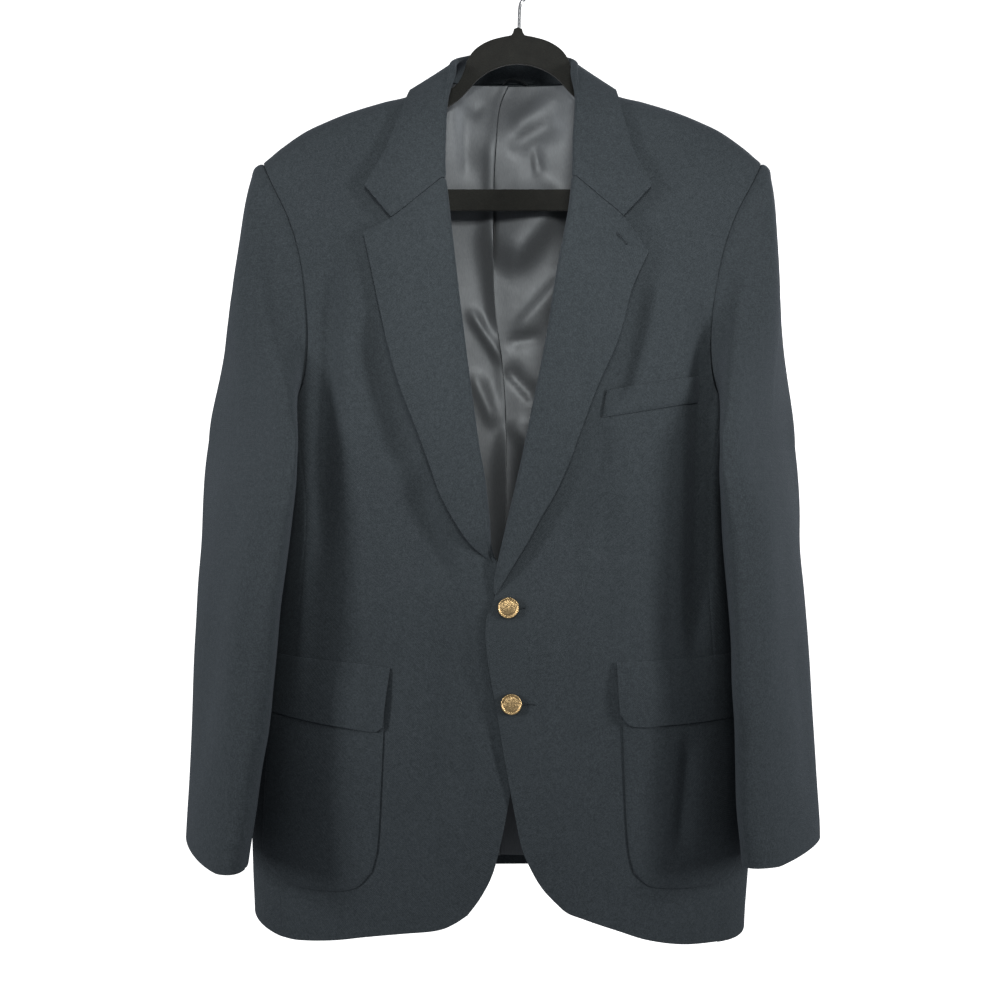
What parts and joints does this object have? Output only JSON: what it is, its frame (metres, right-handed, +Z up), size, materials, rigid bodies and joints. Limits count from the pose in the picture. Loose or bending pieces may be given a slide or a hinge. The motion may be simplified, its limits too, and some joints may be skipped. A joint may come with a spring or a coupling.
{
  "type": "blazer on a hanger",
  "caption": "Navy blazer with notch lapels, patch pockets with flaps and metal buttons, buttoned and hanging on a slim flocked hanger.",
  "frame": {"origin": "the point where a rail carries the hook, at the inner top of its wire", "axes": "+Z up through the hook, -Y the way the blazer's front faces, +X to the viewer's right (the wearer's left)"},
  "size_m": [0.6262, 0.1837, 0.9708],
  "materials": {
    "navy_wool": "fine twill wool, matt",
    "lining_satin": "grey satin lining, soft sheen",
    "loop_tape": "narrow woven cord, matt",
    "brass_button": "satin gilt with a bright rim",
    "hanger_flock": "black velvet flock over plastic",
    "hook_wire": "bright plated wire"
  },
  "bodies": {
    "root": {"front_left": "navy_wool", "front_right": "navy_wool", "side_left": "navy_wool", "side_right": "navy_wool", "back_left": "navy_wool", "back_right": "navy_wool", "collar": "navy_wool", "lapel_left": "navy_wool", "lapel_right": "navy_wool", "sleeve_left_upper": "navy_wool", "sleeve_left_under": "navy_wool", "sleeve_right_upper": "navy_wool", "sleeve_right_under": "navy_wool", "patch_pocket_left": "navy_wool", "patch_pocket_right": "navy_wool", "pocket_flap_left": "navy_wool", "pocket_flap_right": "navy_wool", "breast_welt": "navy_wool", "button_top": "brass_button", "button_bottom": "brass_button", "lining_left": "lining_satin", "lining_right": "lining_satin", "hanging_loop": "loop_tape", "hanger": "hanger_flock", "hanger_hook": "hook_wire"}
  },
  "joints": []
}
